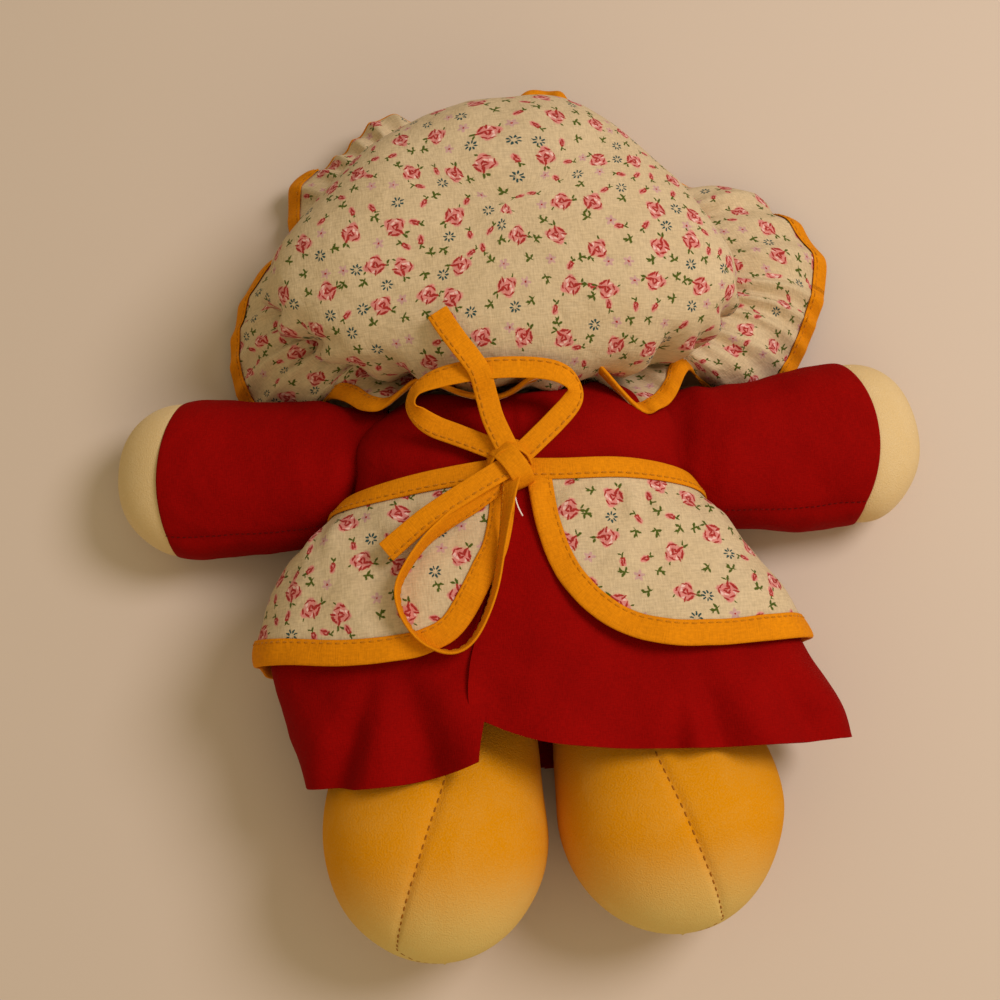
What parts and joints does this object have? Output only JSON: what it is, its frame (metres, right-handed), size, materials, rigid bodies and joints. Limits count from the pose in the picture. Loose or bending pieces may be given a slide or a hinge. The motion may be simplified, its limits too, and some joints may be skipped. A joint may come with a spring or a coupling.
{
  "type": "rag doll",
  "caption": "Stuffed cloth rag doll lying face down, with sewn-on head, arms and boot legs, a red dress lapped at the back, a printed apron tied in a bow and a frilled mob cap.",
  "frame": {"origin": "middle of the waist, on the surface that the doll lies on face down", "axes": "+X to the doll's right, +Y up the body to the head, +Z out of the back, away from the surface"},
  "size_m": [0.3135, 0.3577, 0.1004],
  "materials": {
    "velour_cream": "soft cut pile, matt",
    "velour_yellow": "soft cut pile, matt",
    "stuffing": "loose polyester fibre, matt",
    "calico": "plain weave, matt",
    "red_cotton": "plain weave, matt",
    "printed_cotton": "plain weave with a small floral print, matt",
    "binding": "folded bias tape, matt",
    "elastic": "covered cord elastic, matt"
  },
  "bodies": {
    "torso": {"torso_skin": "calico", "torso_fill": "stuffing", "dress_bodice": "red_cotton", "dress_skirt": "red_cotton", "apron_panel": "printed_cotton", "apron_binding": "binding", "waist_tie": "binding", "bow_knot": "binding", "bow_tail_upper": "binding", "bow_loop_upper": "binding", "bow_tail_lower": "binding", "bow_loop_lower": "binding"},
    "head": {"head_skin": "velour_cream", "head_fill": "stuffing", "cap_crown": "printed_cotton", "cap_frill": "printed_cotton", "cap_binding": "binding", "cap_elastic": "elastic"},
    "left_arm": {"left_arm_skin": "velour_cream", "left_arm_fill": "stuffing", "left_sleeve": "red_cotton"},
    "right_arm": {"right_arm_skin": "velour_cream", "right_arm_fill": "stuffing", "right_sleeve": "red_cotton"},
    "left_leg": {"left_leg_skin": "velour_yellow", "left_leg_fill": "stuffing"},
    "right_leg": {"right_leg_skin": "velour_yellow", "right_leg_fill": "stuffing"}
  },
  "joints": [
    {"name": "neck_nod", "type": "hinge", "parent": "torso", "child": "head", "pos_m": [0, 0.042, 0.0382], "axis": [1, 0, 0], "range_deg": [-12, 10], "deforming": ["cap_frill", "cap_binding", "bow_tail_upper", "bow_loop_upper"]},
    {"name": "left_shoulder", "type": "hinge", "parent": "torso", "child": "left_arm", "pos_m": [-0.06202, 0.018, 0.03], "axis": [0, -1, 0], "range_deg": [-40, 70]},
    {"name": "right_shoulder", "type": "hinge", "parent": "torso", "child": "right_arm", "pos_m": [0.06202, 0.018, 0.03], "axis": [0, 1, 0], "range_deg": [-40, 70]},
    {"name": "left_hip", "type": "hinge", "parent": "torso", "child": "left_leg", "pos_m": [-0.036, -0.0574, 0.0382], "axis": [1, 0, 0], "range_deg": [-35, 75], "deforming": ["dress_skirt", "apron_panel", "apron_binding"]},
    {"name": "right_hip", "type": "hinge", "parent": "torso", "child": "right_leg", "pos_m": [0.036, -0.0574, 0.0382], "axis": [1, 0, 0], "range_deg": [-35, 75], "deforming": ["dress_skirt", "apron_panel", "apron_binding"]}
  ]
}
